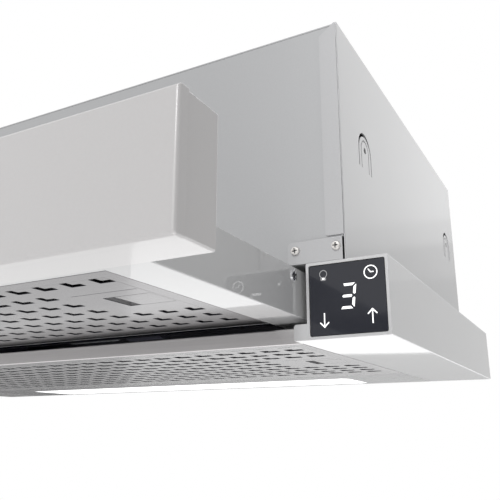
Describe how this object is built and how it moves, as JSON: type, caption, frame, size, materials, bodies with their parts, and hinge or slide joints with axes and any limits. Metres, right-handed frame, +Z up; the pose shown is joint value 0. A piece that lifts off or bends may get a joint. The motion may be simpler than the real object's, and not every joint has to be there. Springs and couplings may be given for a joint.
{
  "type": "pull-out range hood",
  "caption": "Slim cabinet-mounted cooker hood whose drawer slides out over the hob, with perforated filters, touch control, lamp and a duct collar on top.",
  "frame": {"origin": "centre of the bounding box at rest, with the drawer pulled out, on the plane of the hood's underside", "axes": "+X along the hood's width towards the control panel, +Y towards the wall, +Z up"},
  "size_m": [0.598, 0.4856, 0.2174],
  "materials": {
    "body_paint": "satin metallic grey paint",
    "front_paint": "satin pale grey paint",
    "bright_steel": "bright, nearly mirror stainless steel",
    "brushed_steel": "brushed stainless steel",
    "filter_steel": "finely brushed, perforated",
    "filter_mesh": "folded expanded mesh",
    "dark_glass": "dark glass over a touch control",
    "lamp_lens": "white opal, lit",
    "zinc_steel": "zinc-coated",
    "nylon": "natural nylon",
    "black_plastic": "moulded",
    "grey_plastic": "moulded",
    "circuit_board": "solder mask"
  },
  "bodies": {
    "housing": {"body_front_sheet": "body_paint", "body_side_right": "body_paint", "body_side_left": "body_paint", "body_top_sheet": "body_paint", "body_back_sheet": "zinc_steel", "corner_bracket_right": "body_paint", "corner_bracket_left": "body_paint", "bracket_screw_1": "bright_steel", "bracket_screw_2": "bright_steel", "bracket_screw_3": "bright_steel", "bracket_screw_4": "bright_steel", "base_side_right": "body_paint", "base_side_left": "body_paint", "base_front_lip": "brushed_steel", "base_rear_rail": "body_paint", "control_glass": "dark_glass", "control_board": "circuit_board", "blank_plate": "body_paint", "lamp_diffuser": "lamp_lens", "lamp_board": "circuit_board", "guide_channel_right": "zinc_steel", "guide_channel_left": "zinc_steel", "scroll_wrap": "zinc_steel", "scroll_flange": "zinc_steel", "scroll_cheek_right": "zinc_steel", "scroll_cheek_left": "zinc_steel", "motor": "grey_plastic", "motor_spider": "zinc_steel", "outlet_collar": "black_plastic", "flap_pin": "zinc_steel", "cable_gland": "black_plastic", "electronics_box": "grey_plastic", "capacitor": "grey_plastic", "drawer_switch": "black_plastic"},
    "drawer": {"front_plate": "front_paint", "front_tray": "front_paint", "drawer_side_right": "front_paint", "drawer_side_left": "front_paint", "drawer_front_rail": "front_paint", "drawer_rear_rail": "zinc_steel", "drawer_tie_rail": "zinc_steel", "drawer_cover": "body_paint", "drawer_runner_right": "nylon", "drawer_runner_left": "nylon", "stop_screw_right": "zinc_steel", "stop_screw_left": "zinc_steel"},
    "drawer_filter": {"drawer_filter_face": "filter_steel", "drawer_filter_mesh": "filter_mesh"},
    "drawer_latch": {"drawer_filter_latch": "filter_steel"},
    "base_filter": {"base_filter_face": "filter_steel", "base_filter_mesh": "filter_mesh"},
    "base_latch": {"base_filter_latch": "filter_steel"},
    "blower_wheel": {"impeller": "black_plastic", "motor_shaft": "bright_steel"},
    "front_flap": {"flap_front": "grey_plastic"},
    "rear_flap": {"flap_rear": "grey_plastic"}
  },
  "joints": [
    {"name": "drawer_slide", "type": "slide", "parent": "housing", "child": "drawer", "axis": [0, 1, 0], "range_m": [0, 0.1615]},
    {"name": "drawer_filter_swing", "type": "hinge", "parent": "drawer", "child": "drawer_filter", "pos_m": [-0.2244, -0.12015, 0.0136], "axis": [0, 1, 0], "range_deg": [0, 70]},
    {"name": "drawer_latch_slide", "type": "slide", "parent": "drawer_filter", "child": "drawer_latch", "axis": [-1, 0, 0], "range_m": [0, 0.005], "stiffness_N_per_m": 200},
    {"name": "base_filter_swing", "type": "hinge", "parent": "housing", "child": "base_filter", "pos_m": [-0.2425, 0.049, 0.0016], "axis": [0, 1, 0], "range_deg": [0, 70]},
    {"name": "base_latch_slide", "type": "slide", "parent": "base_filter", "child": "base_latch", "axis": [-1, 0, 0], "range_m": [0, 0.005], "stiffness_N_per_m": 200},
    {"name": "impeller_spin", "type": "hinge", "parent": "housing", "child": "blower_wheel", "pos_m": [0, 0.10475, 0.104], "axis": [1, 0, 0], "continuous": true},
    {"name": "front_flap_swing", "type": "hinge", "parent": "housing", "child": "front_flap", "pos_m": [0, 0.05975, 0.189], "axis": [-1, 0, 0], "range_deg": [0, 75]},
    {"name": "rear_flap_swing", "type": "hinge", "parent": "housing", "child": "rear_flap", "pos_m": [0, 0.05975, 0.189], "axis": [1, 0, 0], "range_deg": [0, 75]}
  ]
}
